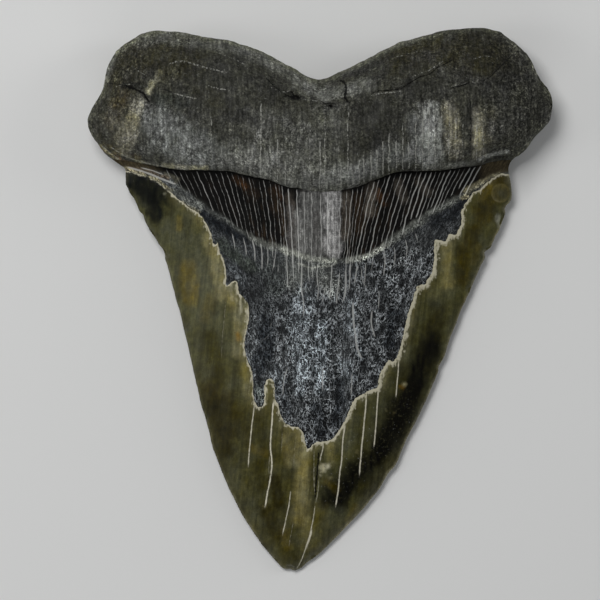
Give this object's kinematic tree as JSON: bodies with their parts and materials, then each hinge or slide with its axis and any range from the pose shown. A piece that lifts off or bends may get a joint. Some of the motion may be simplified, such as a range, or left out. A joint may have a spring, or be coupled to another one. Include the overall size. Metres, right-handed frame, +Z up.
{
  "type": "fossil megalodon tooth",
  "caption": "Large fossil shark tooth: broad triangular blade with fine serrated edges, dark two-lobed root and a band of exposed dentine. Lies on its flatter face.",
  "frame": {"origin": "centre of the bounding box's base, on the surface that the tooth lies on", "axes": "+X across the tooth, +Y from the tip towards the root, +Z up out of the bulging inner face"},
  "size_m": [0.1208, 0.141, 0.027],
  "materials": {
    "fossil": "dark grey root, blue-black dentine and polished olive enamel"
  },
  "bodies": {
    "root": {"tooth": "fossil"}
  },
  "joints": []
}
